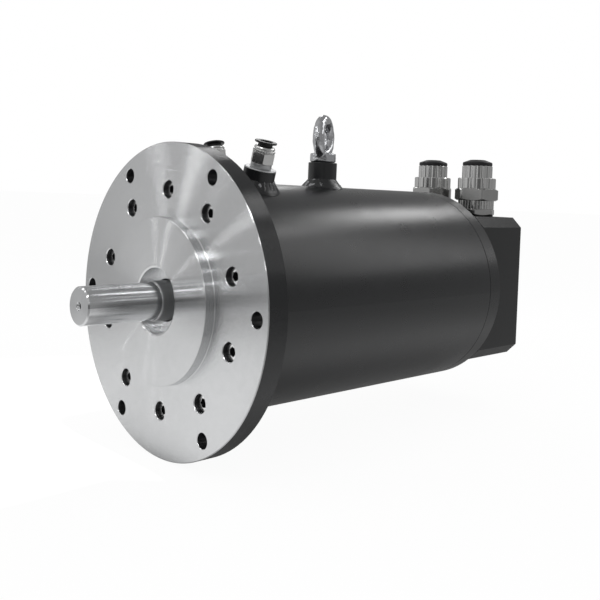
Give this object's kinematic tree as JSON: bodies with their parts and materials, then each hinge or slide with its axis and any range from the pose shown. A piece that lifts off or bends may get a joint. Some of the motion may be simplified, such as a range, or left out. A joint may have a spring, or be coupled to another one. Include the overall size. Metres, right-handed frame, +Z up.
{
  "type": "liquid-cooled servo motor",
  "caption": "Liquid-cooled servo motor with a round mounting flange, a smooth shaft, push-in coolant fittings, a lifting eye, cable glands and a square terminal cover.",
  "frame": {"origin": "centre of the mounting face, on the shaft's axis", "axes": "+Y along the shaft's axis, from the mounting face towards the rear cover, so the shaft's free end points to -Y; +Z up, towards the lifting eye and the cable glands"},
  "size_m": [0.3, 0.5718, 0.3453],
  "materials": {
    "machined_steel": "bright ground face, turned edges",
    "ground_shaft": "ground and polished",
    "bearing_steel": "polished",
    "black_paint": "satin black paint",
    "cover_paint": "satin black paint, fine texture",
    "screw_steel": "dark zinc plated",
    "bright_screw": "stainless",
    "nickel": "nickel-plated brass",
    "forged_chrome": "galvanised forging",
    "sleeve_steel": "dark hardened steel",
    "frame_steel": "machined",
    "lamination": "stamped electrical steel",
    "copper_winding": "varnished copper",
    "magnet": "nickel-coated magnets",
    "brass": "machined",
    "black_rubber": "matte",
    "black_plastic": "moulded",
    "grey_plastic": "moulded",
    "ivory_plastic": "moulded",
    "circuit_board": "lacquered",
    "encoder_glass": "coated glass"
  },
  "bodies": {
    "housing": {"front_flange": "machined_steel", "flange_screws": "screw_steel", "shaft_seal": "black_rubber", "bearing_retainer": "machined_steel", "retainer_screws": "screw_steel", "front_bearing_outer_ring": "bearing_steel", "stator_frame": "frame_steel", "jacket_o_rings": "black_rubber", "jacket_shell": "black_paint", "inlet_boss": "black_paint", "outlet_boss": "black_paint", "lifting_boss": "black_paint", "lifting_eye": "forged_chrome", "stator_core": "lamination", "stator_winding": "copper_winding", "rear_end_shield": "black_paint", "rear_shield_screws": "screw_steel", "rear_bearing_outer_ring": "bearing_steel", "preload_spring": "bright_screw", "encoder_housing": "grey_plastic", "encoder_board": "circuit_board", "encoder_screws": "bright_screw", "rear_cover": "cover_paint", "rear_cover_gasket": "black_rubber", "rear_cover_screws": "screw_steel", "rear_lid": "cover_paint", "rear_lid_gasket": "black_rubber", "rear_lid_screws": "bright_screw", "terminal_block": "ivory_plastic", "terminal_studs": "brass", "inlet_fitting_body": "nickel", "outlet_fitting_body": "nickel", "fitting_grip_rings": "bright_screw", "fitting_tube_seals": "black_rubber", "power_gland_body": "nickel", "power_gland_knurled_ring": "nickel", "power_gland_hex_nut": "nickel", "power_gland_clamp_nut": "nickel", "power_gland_plug": "black_plastic", "signal_gland_body": "nickel", "signal_gland_knurled_ring": "nickel", "signal_gland_hex_nut": "nickel", "signal_gland_clamp_nut": "nickel", "signal_gland_plug": "black_plastic", "gland_o_rings": "black_rubber", "gland_seals": "black_rubber"},
    "rotor": {"shaft": "ground_shaft", "seal_sleeve": "sleeve_steel", "rotor_core": "lamination", "rotor_magnets": "magnet", "rotor_end_plates": "brass", "front_bearing_inner_ring": "bearing_steel", "rear_bearing_inner_ring": "bearing_steel", "encoder_hub": "machined_steel", "encoder_disc": "encoder_glass"},
    "front_ball_set": {"front_bearing_balls": "bearing_steel"},
    "rear_ball_set": {"rear_bearing_balls": "bearing_steel"},
    "inlet_collar": {"inlet_fitting_collar": "black_plastic"},
    "outlet_collar": {"outlet_fitting_collar": "black_plastic"}
  },
  "joints": [
    {"name": "rotor_spin", "type": "hinge", "parent": "housing", "child": "rotor", "pos_m": [0, 0, 0], "axis": [0, -1, 0], "continuous": true},
    {"name": "front_ball_roll", "type": "hinge", "parent": "housing", "child": "front_ball_set", "pos_m": [0, 0.025, 0], "axis": [0, -1, 0], "continuous": true},
    {"name": "rear_ball_roll", "type": "hinge", "parent": "housing", "child": "rear_ball_set", "pos_m": [0, 0.3755, 0], "axis": [0, -1, 0], "continuous": true},
    {"name": "inlet_collar_press", "type": "slide", "parent": "housing", "child": "inlet_collar", "axis": [-0.2588, 0, -0.9659], "range_m": [0, 0.002], "stiffness_N_per_m": 4000, "springref_m": -0.0005},
    {"name": "outlet_collar_press", "type": "slide", "parent": "housing", "child": "outlet_collar", "axis": [0.2588, 0, -0.9659], "range_m": [0, 0.002], "stiffness_N_per_m": 4000, "springref_m": -0.0005}
  ],
  "couplings": [
    {"joint": "front_ball_roll", "follows": "rotor_spin", "ratio": 0.4007},
    {"joint": "rear_ball_roll", "follows": "rotor_spin", "ratio": 0.3773}
  ]
}
